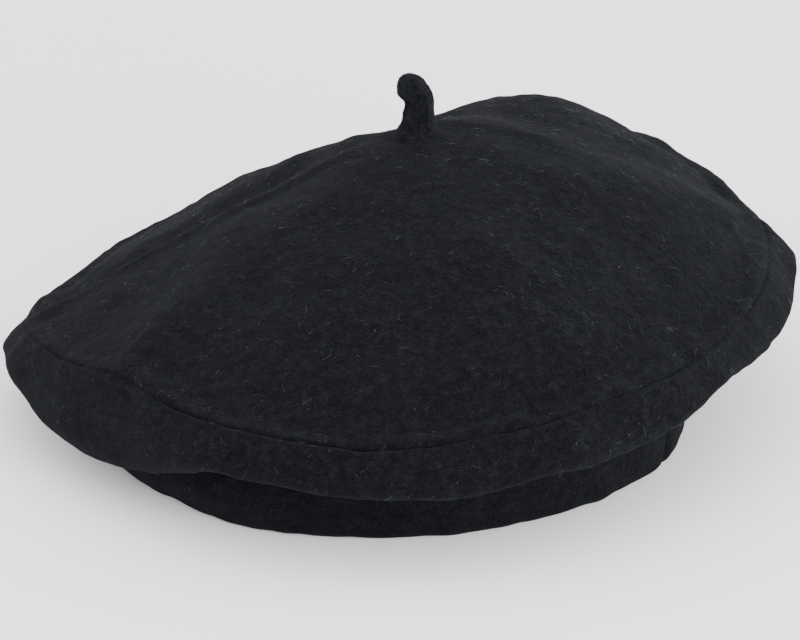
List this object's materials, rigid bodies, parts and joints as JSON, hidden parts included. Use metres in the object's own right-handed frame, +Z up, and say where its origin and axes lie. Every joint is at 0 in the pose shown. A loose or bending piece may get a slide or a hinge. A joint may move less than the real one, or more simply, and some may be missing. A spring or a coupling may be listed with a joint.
{
  "type": "beret",
  "caption": "Soft round wool beret: a wide flat crown with a rolled rim and a rim seam, gathered on a narrow headband, with a short rolled stalk on top and a lining inside.",
  "frame": {"origin": "centre of the head opening, in the plane of the hem that the beret stands on", "axes": "+Z up through the crown, -Z the way the head leaves; +X the side that the crown stands high on, -X the side it flops to; the headband join is near +X towards -Y"},
  "size_m": [0.2552, 0.256, 0.1166],
  "materials": {
    "wool_cloth": "milled black wool, soft raised nap, matte",
    "wool_stalk": "rolled black wool tab, nap running lengthwise",
    "sweatband_ribbon": "black ribbed grosgrain ribbon, low sheen",
    "interlining_felt": "grey stiffening felt",
    "lining_satin": "black satin lining, soft sheen",
    "label_cloth": "blank woven label, off-white",
    "label_thread": "grey sewing thread",
    "wool_thread": "black sewing thread",
    "lining_thread": "black sewing thread"
  },
  "bodies": {
    "headband": {"headband_shell": "wool_cloth", "headband_interlining": "interlining_felt", "sweatband": "sweatband_ribbon", "hem_catch_thread": "wool_thread", "sweatband_thread": "wool_thread", "back_seam_thread": "wool_thread"},
    "crown": {"crown_top_panel": "wool_cloth", "crown_side_panel": "wool_cloth", "rim_seam_thread": "wool_thread", "collar_thread": "wool_thread", "lining_top": "lining_satin", "lining_side": "lining_satin", "lining_seam_thread": "lining_thread", "lining_label": "label_cloth", "label_thread": "label_thread", "stalk_root": "wool_stalk", "stalk_stay_patch": "interlining_felt", "stalk_tack_thread": "wool_thread"},
    "stalk": {"stalk": "wool_stalk"}
  },
  "joints": [
    {"name": "crown_tilt", "type": "hinge", "parent": "headband", "child": "crown", "pos_m": [0, 0, 0.029], "axis": [0, 1, 0], "range_deg": [-3, 5]},
    {"name": "stalk_lean", "type": "hinge", "parent": "crown", "child": "stalk", "pos_m": [0.00937, 0, 0.10117], "axis": [0, 1, 0], "range_deg": [-35, 35], "stiffness_Nm_per_rad": 0.005}
  ]
}
